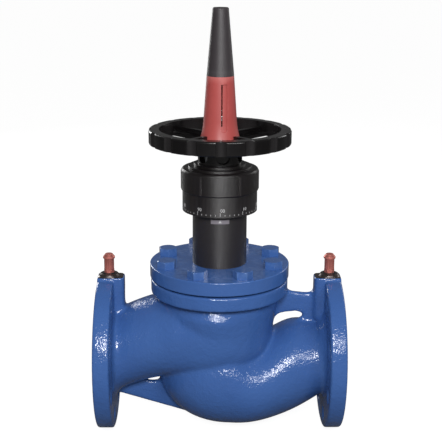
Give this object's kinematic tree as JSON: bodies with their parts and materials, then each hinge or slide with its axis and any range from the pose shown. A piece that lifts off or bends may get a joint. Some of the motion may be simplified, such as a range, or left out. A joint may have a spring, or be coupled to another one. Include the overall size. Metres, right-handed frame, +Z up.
{
  "type": "circuit balancing valve",
  "caption": "Flanged circuit balancing valve: globe body, bolted bonnet, black setting drum and handwheel with a red stem cover, and a pressure test point on each flange.",
  "frame": {"origin": "middle of the outlet flange's face, on the pipe axis", "axes": "+X along the pipe axis from the outlet flange to the inlet flange, +Z up along the stem axis, and the front, with the pointer plate, towards -Y"},
  "size_m": [0.35, 0.22, 0.596],
  "materials": {
    "blue_enamel": "gloss blue enamel over grey iron, slightly uneven from the casting",
    "blue_screws": "steel screws painted over in the same blue",
    "black_metal": "satin black coating on a turned tube",
    "black_moulding": "satin black moulding",
    "wheel_moulding": "gloss black moulding",
    "cap_moulding": "satin black moulding",
    "red_moulding": "dull red moulding",
    "plate_metal": "bright plate",
    "test_brass": "tarnished copper-brown brass",
    "bronze": "machined bronze",
    "stainless": "turned stainless steel",
    "zinc_steel": "zinc-plated steel",
    "seal_rubber": "black sealing rubber",
    "gasket_sheet": "dark pressed gasket sheet"
  },
  "bodies": {
    "valve": {"valve_body": "blue_enamel", "bonnet": "blue_enamel", "bonnet_gasket": "gasket_sheet", "bonnet_bolts": "blue_screws", "guide_bush": "bronze", "stem_seals": "seal_rubber", "gland_nut": "bronze", "seat_ring": "stainless", "indicator_sleeve": "black_metal", "sleeve_grub_screw": "zinc_steel", "index_plate": "plate_metal", "lower_thrust_washer": "bronze", "upper_thrust_washer": "bronze", "bearing_ring": "zinc_steel", "outlet_test_point_washer": "gasket_sheet", "outlet_test_point_body": "test_brass", "outlet_test_point_core": "seal_rubber", "inlet_test_point_washer": "gasket_sheet", "inlet_test_point_body": "test_brass", "inlet_test_point_core": "seal_rubber"},
    "handwheel": {"stem_nut": "bronze", "wheel_key": "zinc_steel", "scale_thimble": "black_moulding", "drum_screws": "zinc_steel", "handwheel": "wheel_moulding", "wheel_washer": "zinc_steel", "wheel_nut": "zinc_steel", "stem_cover": "red_moulding"},
    "stem": {"stem": "stainless", "guide_pin": "stainless", "plug_disc": "bronze", "plug_seal": "seal_rubber", "throttle_cone": "bronze", "plug_nut": "stainless", "travel_stop": "stainless", "stop_lock_nut": "stainless"},
    "outlet_cap": {"outlet_test_point_cap": "test_brass"},
    "inlet_cap": {"inlet_test_point_cap": "test_brass"},
    "tip_cap": {"cover_cap": "cap_moulding"}
  },
  "joints": [
    {"name": "handwheel_turn", "type": "hinge", "parent": "valve", "child": "handwheel", "pos_m": [0.175, 0, 0.27], "axis": [0, 0, 1], "range_deg": [0, 2880]},
    {"name": "stem_lift", "type": "slide", "parent": "valve", "child": "stem", "axis": [0, 0, 1], "range_m": [0, 0.04]},
    {"name": "outlet_cap_lift", "type": "slide", "parent": "valve", "child": "outlet_cap", "axis": [0, 0, 1], "range_m": [0, 0.022]},
    {"name": "inlet_cap_lift", "type": "slide", "parent": "valve", "child": "inlet_cap", "axis": [0, 0, 1], "range_m": [0, 0.022]},
    {"name": "tip_cap_pull", "type": "slide", "parent": "handwheel", "child": "tip_cap", "axis": [0, 0, 1], "range_m": [0, 0.02]}
  ],
  "couplings": [
    {"joint": "stem_lift", "follows": "handwheel_turn", "m_per_rad": 0.00079577}
  ]
}
